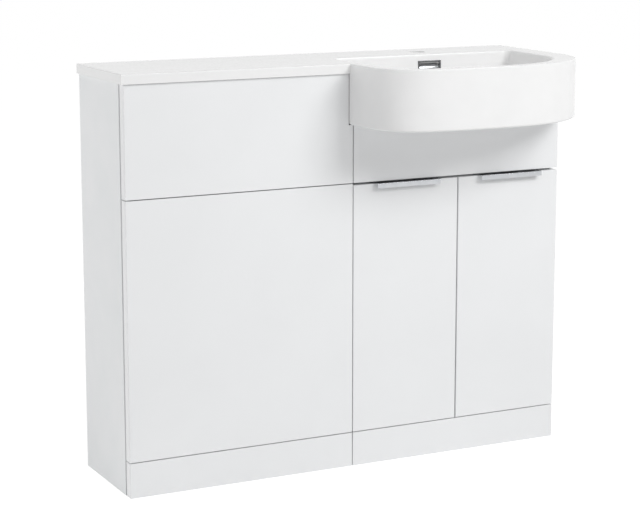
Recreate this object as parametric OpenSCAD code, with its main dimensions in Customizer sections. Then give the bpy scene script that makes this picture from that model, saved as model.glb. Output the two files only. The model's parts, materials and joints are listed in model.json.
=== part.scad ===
// Toilet and basin combination unit: a back-to-wall WC cabinet and a two-door
// vanity cabinet side by side under one cast top, whose P-shaped basin stands
// out in front of the doors.
// Origin: on the floor under the middle of the whole unit. +X runs to the
// right, +Y to the wall, +Z up. Sizes are in millimetres.

/* [Cabinets] */
// Width of the WC cabinet on the left
wc_w = 500; // [460:5:600]
// Width of the vanity cabinet on the right
vanity_w = 500; // [480:5:600]
// Depth from the face of the doors to the wall
unit_d = 250; // [240:5:330]
// Height of the cabinets up to the underside of the top
cabinet_h = 830; // [800:5:900]
// Thickness of the cabinet boards
board_t = 18; // [15:1:20]
// Thickness of the doors, front panels and plinths
front_t = 22; // [18:1:25]
// Gap between the cabinet edges and the back of the fronts
front_gap = 3; // [2.5:0.5:4]
// Gap between neighbouring fronts
reveal = 2; // [1.5:0.5:4]
// Gap between the two doors
door_gap = 3; // [2:0.5:4]
// Gap between the access panel and the top
slab_gap = 1; // [1:0.5:4]
// Height of the plinths
plinth_h = 72; // [60:2:100]
// Height of the filler panel between the doors and the basin
filler_h = 119; // [100:1:150]
// Gap above the doors, where the pulls pass over
pull_gap = 5; // [3.5:0.5:6]
// Radius of the long edges of the fronts
edge_r = 1; // [0.5:0.25:2]

/* [Rails and shelf] */
// Height of the upright rails
rail_h = 80; // [60:5:100]
// Height of the rail behind the filler panel
filler_rail_h = 66; // [50:2:70]
// Distance of the wall screws from the outside of a cabinet
wall_screw_inset = 60; // [50:5:90]
// Radius of the wall screw holes
wall_screw_r = 4; // [3:0.25:5]
// Thickness of the shelf
shelf_t = 16; // [12:1:20]
// Height of the underside of the shelf
shelf_z = 340; // [280:5:400]
// Distance of the shelf from the back of the doors
shelf_setback = 45; // [30:5:70]
// Radius of the shelf pins
pin_r = 2.5; // [2:0.25:3]
// Side of the corner blocks
block_w = 20; // [15:1:25]

/* [Top and basin] */
// Thickness of the top
slab_t = 20; // [15:1:30]
// Overhang of the top at both ends and in front
slab_over = 5; // [2:1:10]
// Reach of the basin in front of the doors
basin_reach = 190; // [160:5:230]
// Height of the basin's apron
basin_h = 125; // [110:1:140]
// Lap of the basin over the WC cabinet
basin_lap = 10; // [6:1:14]
// Squareness of the basin's front left corner, 2 being an ellipse
left_squareness = 4.2; // [2:0.1:6]
// Squareness of the basin's front right corner
right_squareness = 2.1; // [2:0.1:6]
// Radius of the basin's lower edge
apron_r = 5; // [3:1:12]
// Radius of the upper outside edges
slab_r = 2; // [1:0.5:4]
// Width of the rim on the left
rim_left = 26; // [20:1:40]
// Width of the rim on the right
rim_right = 57; // [30:1:70]
// Width of the rim in front
rim_front = 28; // [20:1:40]
// Distance from the face of the doors to the back of the bowl
bowl_back = 128; // [120:1:140]
// Radius of the bowl's edge
lip_r = 6; // [3:0.5:8]
// Radius of the bowl's back corners
bowl_corner_r = 32; // [26:1:45]
// Radius between the bowl's walls and floor
bowl_fillet = 38; // [25:1:45]
// How far the bowl's side walls lean in
bowl_lean = 8; // [2:1:14]
// Fall of the bowl's floor to the waste
bowl_fall = 8; // [4:1:12]
// Thickness of the bowl's floor at the waste
floor_t = 15; // [12:1:20]
// Thickness of the bowl's back wall
back_wall_t = 25; // [22:1:30]

/* [Tap, waste and overflow] */
// Radius of the tap hole
tap_r = 17.5; // [15:0.5:18]
// Distance of the tap hole from the wall
tap_inset = 69; // [60:1:75]
// Radius of the waste hole
waste_r = 22.5; // [20:0.5:24]
// Radius of the flat seat round the waste
seat_r = 31; // [28:1:32]
// Distance of the waste from the face of the doors
waste_y = 71; // [69:1:74]
// Width of the overflow cover
cover_w = 56; // [40:1:64]
// Height of the overflow cover
cover_h = 19; // [15:1:22]
// Thickness of the overflow cover
cover_t = 4.5; // [4:0.5:6]
// Distance of the overflow cover's middle below the rim
cover_drop = 24; // [22:1:30]

/* [Doors] */
// Radius of a hinge cup
cup_r = 17.5; // [13:0.5:17.5]
// Depth of a hinge cup
cup_depth = 12; // [10:0.5:13]
// Distance of a cup's middle from the edge of the door
cup_inset = 22.5; // [22.5:0.5:26]
// Distance of a hinge from the end of the door
hinge_inset = 95; // [70:5:140]
// Length of a pull
pull_w = 150; // [120:2:200]
// Reach of a pull in front of the door
pull_reach = 14; // [12:1:28]
// Depth of a pull's turned-down lip
pull_lip = 10; // [6:1:14]
// Thickness of a pull
pull_t = 2; // [1.5:0.25:2.5]
// Depth of a pull's fixing leg behind the door
pull_leg = 26; // [20:1:32]

/* [Hidden] */

// Clearances
fit = 0.3;
basin_fit = 0.8;
pin_fit = 0.05;
shelf_fit = 1;

// Cabinet lines, left to right
x_left = -(wc_w + vanity_w) / 2;
x_joint = x_left + wc_w;
x_right = x_joint + vanity_w;
x_vanity = (x_joint + x_right) / 2;

// Depth lines, front to wall
y_face = (basin_reach - unit_d) / 2;
y_rear = y_face + front_t;
y_edge = y_rear + front_gap;
y_wall = y_face + unit_d;
y_slab = y_face - slab_over;

// Height lines, from the top down to the doors and up from the floor
top_z = cabinet_h + slab_t;
panel_top = cabinet_h - slab_gap;
basin_z = top_z - basin_h;
filler_top = basin_z - reveal;
upper_z = filler_top - filler_h;
door_top = upper_z - pull_gap;
lower_z = plinth_h + reveal;
base_z = plinth_h - 2;

// Basin plan
basin_x0 = x_joint - basin_lap;
basin_x1 = x_right + slab_over;
x_nose = (basin_x0 + basin_x1) / 2;
nose_reach = basin_reach - slab_over;
notch_x = x_joint + reveal / 2;
tank_gap = 2;
y_tank = y_edge - 1;
bowl_y = y_face + bowl_back;
waste = [x_vanity, y_face + waste_y];
seat_z = basin_z + floor_t;
floor_z = seat_z + bowl_fall;
front_lean = 1.5;
back_lean = 0.5;

// Small fittings
pad_r = 6;
pad_inset = 10;
pad_end = 50;
stud_r = 4;
stud_l = 11;
stud_flange = [7, 1.4];
socket_r = 7;
socket_l = 13;
socket_flange = [9, 1.3];
bolt_r = 3;
bolt_head = [7, 2.5];
bolt_inset = [80, 60];
bolt_end = 150;
stud_inset = 90;
stud_edge = 18;
base_rail_z = 10;
block_end = 15;
filler_block_end = 8;
filler_rail_gap = 4;
row_pitch = 32;
row_reach = 2;
pin_end = 25;
pin_l = 9;
pin_reach = 12;
plate_size = [5, 46, 34];
plate_y = 37;
plate_end = 5;
plate_screw = [3.5, 1.6, 1.5];
arm_size = [9, 13];
arm_nose = 5.5;
arm_step = 3;
arm_tail = 20;
cup_flange = [52, 24, 1.2];
cup_wall = 1.2;
cup_screw = [2, 10];
cup_screw_z = cup_flange[0] / 2 - 5;
door_pad = [5, 60];
leg_hole_inset = 22;
screw_r = 2;
screw_l = 14;
screw_head = [3.6, 0.9];
pull_chamfer = 0.5;
slot_h = 8;
slot_w = 44;
channel_w = 18;
channel_d = 15;
channel_h = 7;
channel_skin = 3;
channel_run = 27;
channel_knee = 43;
tank_bevel = [35, 50];
bezel = 3;
blade_t = 1.2;
blade_gap = 0.5;
blade_rise = 2;
arc_steps = 20;
corner_steps = 6;
back_steps = 20;
fillet_steps = 5;
floor_steps = [1, 0.65, 0.3];
over = 1;
fine = 48;

board_white = "#f4f5f6";
front_white = "#fbfbfc";
cast_white = "#f2f2f0";
chrome = "#c9ccd1";
steel = "#aeb2b8";
clear_grey = "#d9dcde";

// A board between two opposite corners
module board(from, to) {
    translate(from) cube(to - from);
}

// Points of an arc
function arc(centre, r, a0, a1, n) =
    [for (i = [0:n]) let (a = a0 + (a1 - a0) * i / n) centre + r * [cos(a), sin(a)]];

// Outline of a rectangle with round corners, its own corner at the origin
function rounded(w, d, r) = concat(
    arc([w - r, d - r], r, 0, 90, 3),
    arc([r, d - r], r, 90, 180, 3),
    arc([r, r], r, 180, 270, 3),
    arc([w - r, r], r, 270, 360, 3)
);

// A front between two opposite corners, with its upright edges rounded
module front(from, to) {
    size = to - from;
    translate(from) linear_extrude(size.z) polygon(rounded(size.x, size.y, edge_r));
}

// A cylinder that runs from a point towards the wall
module rod_y(from, r, l) {
    translate(from) rotate([-90, 0, 0]) cylinder(r = r, h = l, $fn = fine);
}

// A cylinder that runs from a point to the right
module rod_x(from, r, l) {
    translate(from) rotate([0, 90, 0]) cylinder(r = r, h = l, $fn = fine);
}

// A solid skinned over rings of points, from the lowest to the highest,
// each ring running anticlockwise as seen from above
module loft(rings) {
    n = len(rings[0]);
    m = len(rings);
    corner = function (k, i) k * n + i % n;
    sides = [for (k = [0:m - 2], i = [0:n - 1])
        each [
            [corner(k, i), corner(k + 1, i), corner(k + 1, i + 1)],
            [corner(k, i), corner(k + 1, i + 1), corner(k, i + 1)]
        ]];
    low = [for (i = [0:n - 1]) i];
    high = [for (i = [n - 1:-1:0]) corner(m - 1, i)];
    polyhedron(points = [for (ring = rings) each ring], faces = concat([low], sides, [high]));
}

// A ring of plan points set at one height
function at(points, z) = [for (p = points) [p.x, p.y, z]];

// The doors' fittings are drawn for the left door about the vanity's middle
module hand(right = false) {
    translate([x_vanity, 0, 0]) mirror([right ? 1 : 0, 0, 0]) children();
}

// ---- WC cabinet ----

x_wc_in0 = x_left + board_t;
x_wc_in1 = x_joint - board_t;
bolt_y = [y_edge + bolt_inset[0], y_wall - bolt_inset[1]];
bolt_z = [bolt_end, cabinet_h - bolt_end];

module side(x0) {
    board([x0, y_edge, 0], [x0 + board_t, y_wall, cabinet_h]);
}

// Holes for the bolts that join the two cabinets
module bolt_holes() {
    for (y = bolt_y, z = bolt_z)
        rod_x([x_joint - board_t - over, y, z], bolt_r + fit / 2, 2 * (board_t + over));
}

module wc_side_left() {
    color(board_white) side(x_left);
}

module wc_side_right() {
    color(board_white) difference() {
        side(x_joint - board_t);
        bolt_holes();
    }
}

module wc_rail(y0, z0, h = rail_h) {
    board([x_wc_in0, y0, z0], [x_wc_in1, y0 + board_t, z0 + h]);
}

mid_rail_z = upper_z - reveal / 2 - rail_h / 2;
top_rail_z = cabinet_h - rail_h;

module wc_base_rail() {
    color(board_white) wc_rail(y_edge, base_rail_z);
}

// Where the access panel's four clips sit
clip_x = [x_left + stud_inset, x_joint - stud_inset];
clip_z = [mid_rail_z + rail_h - stud_edge, top_rail_z + rail_h / 2];

module clip_bores(z) {
    for (x = clip_x)
        rod_y([x, y_edge - over, z], socket_r, socket_l + over);
}

module wc_mid_rail() {
    color(board_white) difference() {
        wc_rail(y_edge, mid_rail_z);
        clip_bores(clip_z[0]);
    }
}

module wc_top_rail() {
    color(board_white) difference() {
        wc_rail(y_edge, top_rail_z);
        clip_bores(clip_z[1]);
    }
}

module wall_screw_holes(x0, w) {
    for (x = [x0 + wall_screw_inset, x0 + w - wall_screw_inset])
        rod_y([x, y_wall - board_t - over, cabinet_h - rail_h / 2],
            wall_screw_r, board_t + 2 * over);
}

module wc_wall_rail() {
    color(board_white) difference() {
        wc_rail(y_wall - board_t, top_rail_z);
        wall_screw_holes(x_left, wc_w);
    }
}

block_y = y_wall - board_t - block_w;

// A pair of plastic blocks in the corners behind or before a rail
module block_pair(x0, x1, y, z, h) {
    for (x = [x0, x1 - block_w])
        board([x, y, z], [x + block_w, y + block_w, z + h]);
}

block_h = rail_h - 2 * block_end;

module wc_corner_blocks() {
    color(clear_grey) {
        for (z = [base_rail_z, mid_rail_z, top_rail_z])
            block_pair(x_wc_in0, x_wc_in1, y_edge + board_t, z + block_end, block_h);
        block_pair(x_wc_in0, x_wc_in1, block_y, top_rail_z + block_end, block_h);
    }
}

wc_x0 = x_left + reveal / 2;
wc_x1 = x_joint - reveal / 2;

module wc_front_panel() {
    color(front_white) front([wc_x0, y_face, lower_z], [wc_x1, y_rear, upper_z - reveal]);
}

// Round pads that space a front from the cabinet edges
module pads(xs, zs) {
    for (x = xs, z = zs)
        rod_y([x, y_rear, z], pad_r, front_gap);
}

wc_pad_x = [wc_x0 + pad_inset, wc_x1 - pad_inset];

module wc_panel_pads() {
    color(clear_grey)
        pads(wc_pad_x, [lower_z + pad_end, (lower_z + upper_z) / 2, upper_z - pad_end]);
}

// The access panel, notched round the basin's left wall so that it draws
// straight off its clips
module wc_access_panel() {
    color(front_white) difference() {
        front([wc_x0, y_face, upper_z], [wc_x1, y_rear, panel_top]);
        board(
            [basin_x0 - basin_fit, y_face - over, basin_z - basin_fit],
            [wc_x1 + over, y_rear + over, panel_top + over]
        );
    }
}

module access_clip_studs() {
    color(clear_grey)
        for (x = clip_x, z = clip_z) {
            rod_y([x, y_rear, z], stud_flange[0], stud_flange[1]);
            rod_y([x, y_rear, z], stud_r - fit, stud_l);
        }
}

module access_clip_sockets() {
    color(clear_grey)
        for (x = clip_x, z = clip_z)
            difference() {
                union() {
                    rod_y([x, y_edge - socket_flange[1], z], socket_flange[0], socket_flange[1]);
                    rod_y([x, y_edge - socket_flange[1], z], socket_r, socket_flange[1] + socket_l);
                }
                rod_y([x, y_edge - socket_flange[1] - over, z], stud_r, stud_l + over);
            }
}

module wc_plinth() {
    color(front_white) front([wc_x0, y_face, 0], [wc_x1, y_rear, plinth_h]);
}

module wc_plinth_pads() {
    color(clear_grey) pads(wc_pad_x, [plinth_h / 2]);
}

// ---- Vanity cabinet ----

x_in0 = x_joint + board_t;
x_in1 = x_right - board_t;
hinge_z = [lower_z + hinge_inset, door_top - hinge_inset];
shelf_y = y_rear + shelf_setback;
shelf_back = block_y - shelf_fit;
pin_y = [shelf_y + pin_end, shelf_back - pin_end];

// A row of shelf pin holes up the inside of a side
module pin_rows(x0) {
    for (y = pin_y, i = [-row_reach:row_reach])
        rod_x([x0, y, shelf_z - pin_r + i * row_pitch], pin_r, pin_l + over);
}

module vanity_side_left() {
    color(board_white) difference() {
        side(x_joint);
        bolt_holes();
        pin_rows(x_in0 - pin_l);
    }
}

module vanity_side_right() {
    color(board_white) difference() {
        side(x_right - board_t);
        pin_rows(x_in1 - over);
    }
}

module vanity_base() {
    color(board_white) board([x_in0, y_edge, base_z], [x_in1, y_wall, base_z + board_t]);
}

// The rail closes the gap above the doors from behind, over the pulls' screws
filler_rail_z = door_top - pull_leg / 2 + screw_head[0] + filler_rail_gap;

module vanity_filler_rail() {
    color(board_white)
        board(
            [x_in0, y_edge, filler_rail_z],
            [x_in1, y_edge + board_t, filler_rail_z + filler_rail_h]
        );
}

module vanity_back_rail() {
    color(board_white)
        board(
            [x_in0, y_wall - board_t, base_z + board_t],
            [x_in1, y_wall, base_z + board_t + rail_h]
        );
}

module vanity_wall_rail() {
    color(board_white) difference() {
        board([x_in0, y_wall - board_t, top_rail_z], [x_in1, y_wall, cabinet_h]);
        wall_screw_holes(x_joint, vanity_w);
    }
}

module vanity_corner_blocks() {
    color(clear_grey) {
        block_pair(x_in0, x_in1, y_edge + board_t, filler_rail_z + filler_block_end,
            filler_rail_h - 2 * filler_block_end);
        block_pair(x_in0, x_in1, block_y, top_rail_z + block_end, block_h);
        block_pair(x_in0, x_in1, block_y, base_z + board_t, block_h);
    }
}

vanity_x0 = x_joint + reveal / 2;
vanity_x1 = x_right - reveal / 2;
vanity_pad_x = [vanity_x0 + pad_inset, vanity_x1 - pad_inset];

module vanity_filler_panel() {
    color(front_white) front([vanity_x0, y_face, upper_z], [vanity_x1, y_rear, filler_top]);
}

module vanity_filler_pads() {
    color(clear_grey) {
        pads(vanity_pad_x, [(upper_z + filler_top) / 2]);
        pads([x_vanity - vanity_w / 4, x_vanity + vanity_w / 4], [filler_rail_z + filler_rail_h / 2]);
    }
}

module vanity_plinth() {
    color(front_white) front([vanity_x0, y_face, 0], [vanity_x1, y_rear, plinth_h]);
}

module vanity_plinth_pads() {
    color(clear_grey) pads(vanity_pad_x, [plinth_h / 2]);
}

module cabinet_bolts() {
    color(steel)
        for (y = bolt_y, z = bolt_z) {
            rod_x([x_joint - board_t, y, z], bolt_r, 2 * board_t);
            rod_x([x_joint - board_t - bolt_head[1], y, z], bolt_head[0], bolt_head[1]);
            rod_x([x_joint + board_t, y, z], bolt_head[0], bolt_head[1]);
        }
}

module shelf() {
    color(board_white)
        board(
            [x_in0 + shelf_fit, shelf_y, shelf_z],
            [x_in1 - shelf_fit, shelf_back, shelf_z + shelf_t]
        );
}

// Each pin sits in its hole and bears the shelf on its free end
module shelf_pins() {
    color(steel)
        for (y = pin_y, right = [false, true])
            translate([right ? x_in1 : x_in0, y, shelf_z - pin_r])
                mirror([right ? 1 : 0, 0, 0]) {
                    rod_x([-pin_l, 0, 0], pin_r - pin_fit, pin_l);
                    rod_x([0, 0, 0], pin_r, pin_reach);
                }
}

// ---- Doors, drawn for the left hand about the vanity's middle ----

door_x0 = -vanity_w / 2 + reveal / 2;
door_x1 = -door_gap / 2;
pull_x = (door_x0 + door_x1) / 2;
cup_x = door_x0 + cup_inset;

module door(right) {
    color(front_white) hand(right) difference() {
        front([door_x0, y_face, lower_z], [door_x1, y_rear, door_top]);
        for (z = hinge_z) {
            rod_y([cup_x, y_rear - cup_depth, z], cup_r, cup_depth + over);
            for (up = [-1, 1])
                rod_y([cup_x, y_rear - cup_screw[1], z + up * cup_screw_z],
                    cup_screw[0], cup_screw[1] + over);
        }
        pull_holes(screw_r);
    }
}

// The two screw positions of a pull, in the back of the door
module pull_holes(r) {
    for (dx = [-1, 1])
        rod_y([pull_x + dx * (pull_w / 2 - leg_hole_inset), y_rear - screw_l, door_top - pull_leg / 2],
            r, screw_l + pull_t + over);
}

module door_left() {
    door(false);
}

module door_right() {
    door(true);
}

// Soft pads at the foot of a door, which land on the edge of the base
module door_pads(right) {
    color(clear_grey) hand(right)
        for (x = [door_x0 + door_pad[1], door_x1 - pad_inset])
            rod_y([x, y_rear, lower_z + pad_r], door_pad[0], front_gap);
}

module door_pads_left() {
    door_pads(false);
}

module door_pads_right() {
    door_pads(true);
}

arm_x = -vanity_w / 2 + board_t + plate_size.x;

// Mounting plates screwed to the inside of the sides
module hinge_plates() {
    color(steel)
        for (right = [false, true], z = hinge_z)
            hand(right) translate([-vanity_w / 2 + board_t, y_edge + plate_y, z])
                difference() {
                    translate([0, -plate_size.y / 2, -plate_size.z / 2]) cube(plate_size);
                    for (up = [-1, 1])
                        rod_x([-over, 0, up * (plate_size.z / 2 - plate_end)],
                            plate_screw[1], plate_size.x + 2 * over);
                }
}

module hinge_plate_screws() {
    color(steel)
        for (right = [false, true], z = hinge_z, up = [-1, 1])
            hand(right) translate([arm_x, y_edge + plate_y, z + up * (plate_size.z / 2 - plate_end)]) {
                rod_x([-plate_size.x, 0, 0], plate_screw[1], plate_size.x);
                rod_x([0, 0, 0], plate_screw[0], plate_screw[2]);
            }
}

// Each arm rides on its plate and ends in a nose inside the closed cup
module hinge_arms() {
    color(steel)
        for (right = [false, true], z = hinge_z)
            hand(right) translate([arm_x, 0, z - arm_size[1] / 2])
                linear_extrude(arm_size[1])
                    polygon([
                        [0, y_edge + plate_y + arm_tail],
                        [0, y_edge + arm_step],
                        [-arm_step, y_edge],
                        [-arm_step, y_rear - arm_nose],
                        [arm_size[0] - arm_step, y_rear - arm_nose],
                        [arm_size[0], y_edge],
                        [arm_size[0], y_edge + plate_y + arm_tail]
                    ]);
}

// Each cup is a hollow pressing let into the door, with a screwed flange
module hinge_cups(right) {
    color(steel) hand(right)
        for (z = hinge_z)
            difference() {
                union() {
                    rod_y([cup_x, y_rear - cup_depth, z], cup_r, cup_depth + cup_flange[2]);
                    board(
                        [cup_x - cup_flange[1] / 2, y_rear, z - cup_flange[0] / 2],
                        [cup_x + cup_flange[1] / 2, y_rear + cup_flange[2], z + cup_flange[0] / 2]
                    );
                    for (up = [-1, 1])
                        rod_y([cup_x, y_rear - cup_screw[1], z + up * cup_screw_z],
                            cup_screw[0], cup_screw[1]);
                }
                rod_y([cup_x, y_rear - cup_depth + cup_wall, z], cup_r - cup_wall, cup_depth + 2 * over);
            }
}

module hinge_cups_left() {
    hinge_cups(false);
}

module hinge_cups_right() {
    hinge_cups(true);
}

// An edge pull: a leg screwed behind the door, a flange over its top edge and
// a lip turned down in front of it
module pull(right) {
    y0 = y_face - pull_reach;
    y1 = y_rear + pull_t;
    z1 = door_top + pull_t;
    color(chrome) hand(right) difference() {
        translate([pull_x - pull_w / 2, 0, 0])
            rotate([90, 0, 90])
                linear_extrude(pull_w)
                    polygon([
                        [y0, z1 - pull_lip], [y0 + pull_t, z1 - pull_lip],
                        [y0 + pull_t, door_top], [y_rear, door_top],
                        [y_rear, door_top - pull_leg], [y1, door_top - pull_leg],
                        [y1, z1], [y0 + pull_chamfer, z1], [y0, z1 - pull_chamfer]
                    ]);
        pull_holes(screw_r);
    }
}

module pull_left() {
    pull(false);
}

module pull_right() {
    pull(true);
}

module pull_screws(right) {
    color(steel) hand(right)
        for (dx = [-1, 1])
            translate([pull_x + dx * (pull_w / 2 - leg_hole_inset), 0, door_top - pull_leg / 2]) {
                rod_y([0, y_rear - screw_l, 0], screw_r, screw_l + pull_t);
                rod_y([0, y_rear + pull_t, 0], screw_head[0], screw_head[1]);
            }
}

module pull_screws_left() {
    pull_screws(false);
}

module pull_screws_right() {
    pull_screws(true);
}

// ---- Top with its basin ----

// The front of the basin in plan, from its left side round to its right, as a
// superellipse whose two halves have their own squareness
function nose(x0, x1, reach) = [
    for (i = [0:2 * arc_steps])
        let (
            t = 90 * i / arc_steps,
            square = t < 90 ? left_squareness : right_squareness,
            half = t < 90 ? x0 - x_nose : x1 - x_nose
        )
        [x_nose + half * pow(abs(cos(t)), 2 / square), y_slab - reach * pow(abs(sin(t)), 2 / square)]
];

// Plan of the basin's outside, drawn in by an inset
function apron(inset) = concat(
    nose(basin_x0 + inset, basin_x1 - inset, nose_reach - inset),
    [[basin_x1 - inset, y_tank], [basin_x0 + inset, y_tank]]
);

// Plan of the bowl, drawn in by an inset that is larger in front than behind
function bowl(inset) =
    let (
        x0 = basin_x0 + rim_left + inset,
        x1 = basin_x1 - rim_right - inset,
        y1 = bowl_y - inset * back_lean,
        r = bowl_corner_r - max(inset, 0) * back_lean
    )
    concat(
        nose(x0, x1, nose_reach - rim_front - inset * front_lean),
        arc([x1 - r, y1 - r], r, 0, 90, corner_steps),
        [for (i = [1:back_steps - 1]) [x1 - r + (x0 - x1 + 2 * r) * i / back_steps, y1]],
        arc([x0 + r, y1 - r], r, 90, 180, corner_steps)
    );

// Plan of the bowl's floor, from its edge (0) to the seat of the waste (1)
function bowl_floor(k) = [
    for (p = bowl(bowl_lean + bowl_fillet))
        let (out = p - waste)
        (1 - k) * p + k * (waste + seat_r * out / norm(out))
];

// A rounded edge as pairs of inset and height, over a quarter turn
quarter = [for (i = [0:4]) 22.5 * i];

module basin_body() {
    loft(concat(
        [for (a = quarter) at(apron(apron_r * (1 - sin(a))), basin_z + apron_r * (1 - cos(a)))],
        [for (a = quarter) at(apron(slab_r * (1 - cos(a))), top_z - slab_r * (1 - sin(a)))]
    ));
}

module slab() {
    w = x_right - x_left + 2 * slab_over;
    d = y_wall - y_slab;
    ring = function (inset) [
        [x_left - slab_over + inset, y_slab + inset],
        [x_left - slab_over + w - inset, y_slab + inset],
        [x_left - slab_over + w - inset, y_slab + d],
        [x_left - slab_over + inset, y_slab + d]
    ];
    loft(concat(
        [at(ring(0), cabinet_h)],
        [for (a = quarter) at(ring(slab_r * (1 - cos(a))), top_z - slab_r * (1 - sin(a)))]
    ));
}

// The part of the casting that hangs between the vanity's sides, as a side
// profile with its lower back edge cut away
module tank() {
    y1 = bowl_y + back_wall_t;
    translate([x_in0 + tank_gap, 0, 0])
        rotate([90, 0, 90])
            linear_extrude(x_in1 - x_in0 - 2 * tank_gap)
                polygon([
                    [y_tank - over, basin_z], [y1 - tank_bevel.x, basin_z],
                    [y1, basin_z + tank_bevel.y], [y1, cabinet_h + over],
                    [y_tank - over, cabinet_h + over]
                ]);
}

module bowl_cavity() {
    loft(concat(
        [for (k = floor_steps) at(bowl_floor(k), floor_z - bowl_fall * k)],
        [for (i = [0:fillet_steps])
            let (a = 90 * i / fillet_steps)
            at(bowl(bowl_lean + bowl_fillet * (1 - sin(a))), floor_z + bowl_fillet * (1 - cos(a)))],
        [for (a = quarter) at(bowl(-lip_r * (1 - cos(a))), top_z - lip_r * (1 - sin(a)))],
        [at(bowl(-lip_r), top_z + over)]
    ));
}

cover_z = top_z - cover_drop;
cover_y = bowl_y + 2;

// The overflow's way from its pocket in the back wall down to the waste hole
module overflow_way() {
    y0 = cover_y + over;
    y1 = y0 + channel_d;
    low = basin_z + channel_skin;
    board(
        [waste.x - (cover_w + fit) / 2, bowl_y - bowl_lean, cover_z - (cover_h + fit) / 2],
        [waste.x + (cover_w + fit) / 2, cover_y, cover_z + (cover_h + fit) / 2]
    );
    board(
        [waste.x - slot_w / 2, cover_y - over, cover_z - slot_h / 2],
        [waste.x + slot_w / 2, y0 + channel_d / 2, cover_z + slot_h / 2]
    );
    translate([waste.x - channel_w / 2, 0, 0])
        rotate([90, 0, 90])
            linear_extrude(channel_w)
                polygon([
                    [y0, cover_z + slot_h / 2], [y1, cover_z + slot_h / 2],
                    [y1, basin_z + tank_bevel.y - 2 * over], [y1 - tank_bevel.x - 2 * over, low],
                    [waste.y, low], [waste.y, low + channel_h],
                    [y0 - channel_run, low + channel_h], [y0, basin_z + channel_knee]
                ]);
}

module basin_top() {
    color(cast_white) difference() {
        union() {
            slab();
            basin_body();
            tank();
        }
        bowl_cavity();
        board(
            [basin_x0 - over, y_face - fit, basin_z - over],
            [notch_x, y_tank + over, cabinet_h]
        );
        translate([waste.x, y_wall - tap_inset, cabinet_h - over])
            cylinder(r = tap_r, h = slab_t + 2 * over, $fn = fine);
        translate([waste.x, waste.y, basin_z - over])
            cylinder(r = waste_r, h = floor_t + 2 * over, $fn = fine);
        overflow_way();
    }
}

// A square bezel with a sloping blade that leaves the overflow's slot above it
module overflow_cover() {
    y0 = cover_y - cover_t;
    color(chrome) {
        difference() {
            board(
                [waste.x - cover_w / 2, y0, cover_z - cover_h / 2],
                [waste.x + cover_w / 2, cover_y, cover_z + cover_h / 2]
            );
            board(
                [waste.x - cover_w / 2 + bezel, y0 - over, cover_z - cover_h / 2 + bezel],
                [waste.x + cover_w / 2 - bezel, cover_y + over, cover_z + cover_h / 2 - bezel]
            );
        }
        translate([waste.x - cover_w / 2 + bezel, 0, 0])
            rotate([90, 0, 90])
                linear_extrude(cover_w - 2 * bezel)
                    polygon([
                        [y0 + blade_gap, cover_z - cover_h / 2 + bezel],
                        [y0 + blade_gap + blade_t, cover_z - cover_h / 2 + bezel],
                        [cover_y - blade_gap, cover_z + blade_rise],
                        [cover_y - blade_gap - blade_t, cover_z + blade_rise]
                    ]);
    }
}

wc_side_left();
wc_side_right();
wc_base_rail();
wc_mid_rail();
wc_top_rail();
wc_wall_rail();
wc_corner_blocks();
wc_front_panel();
wc_panel_pads();
wc_access_panel();
access_clip_studs();
access_clip_sockets();
wc_plinth();
wc_plinth_pads();
vanity_side_left();
vanity_side_right();
vanity_base();
vanity_filler_rail();
vanity_back_rail();
vanity_wall_rail();
vanity_corner_blocks();
vanity_filler_panel();
vanity_filler_pads();
vanity_plinth();
vanity_plinth_pads();
cabinet_bolts();
shelf();
shelf_pins();
door_left();
door_right();
door_pads_left();
door_pads_right();
hinge_plates();
hinge_plate_screws();
hinge_arms();
hinge_cups_left();
hinge_cups_right();
pull_left();
pull_right();
pull_screws_left();
pull_screws_right();
basin_top();
overflow_cover();
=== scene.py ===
import json
import math

import bmesh
import bpy
from mathutils import Matrix, Vector

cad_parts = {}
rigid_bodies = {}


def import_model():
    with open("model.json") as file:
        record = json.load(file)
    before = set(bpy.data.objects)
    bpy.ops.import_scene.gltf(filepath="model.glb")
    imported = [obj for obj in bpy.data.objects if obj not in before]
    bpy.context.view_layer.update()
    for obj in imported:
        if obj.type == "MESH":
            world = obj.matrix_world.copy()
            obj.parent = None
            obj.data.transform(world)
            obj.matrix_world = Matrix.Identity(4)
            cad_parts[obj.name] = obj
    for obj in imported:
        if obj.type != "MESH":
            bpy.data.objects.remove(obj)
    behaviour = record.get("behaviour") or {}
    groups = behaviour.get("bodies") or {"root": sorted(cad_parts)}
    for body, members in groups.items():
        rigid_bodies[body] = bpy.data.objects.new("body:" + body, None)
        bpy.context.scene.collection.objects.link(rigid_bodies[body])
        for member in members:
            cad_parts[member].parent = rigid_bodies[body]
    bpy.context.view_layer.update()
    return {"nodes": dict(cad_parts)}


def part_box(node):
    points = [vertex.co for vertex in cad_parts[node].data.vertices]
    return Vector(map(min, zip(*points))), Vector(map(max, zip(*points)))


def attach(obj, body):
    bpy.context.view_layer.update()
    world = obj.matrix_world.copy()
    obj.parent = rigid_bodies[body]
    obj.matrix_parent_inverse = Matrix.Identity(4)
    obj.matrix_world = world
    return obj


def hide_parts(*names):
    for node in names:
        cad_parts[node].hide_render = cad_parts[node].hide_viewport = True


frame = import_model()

print("frame loaded:", len(frame["nodes"]), "nodes")

mm = 0.001
weld = 1e-6  # metres within which corners are joined
cutWeld = 2e-6  # the same after a boolean cut
near = 1e-5  # metres within which two places count as one
squareTo = 0.99  # cosine above which a face counts as square to an axis


def linear(hexColour):
    channels = []
    for i in (1, 3, 5):
        value = int(hexColour[i:i + 2], 16) / 255
        channels.append(value / 12.92 if value <= 0.04045 else ((value + 0.055) / 1.055) ** 2.4)
    return (*channels, 1.0)


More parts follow.
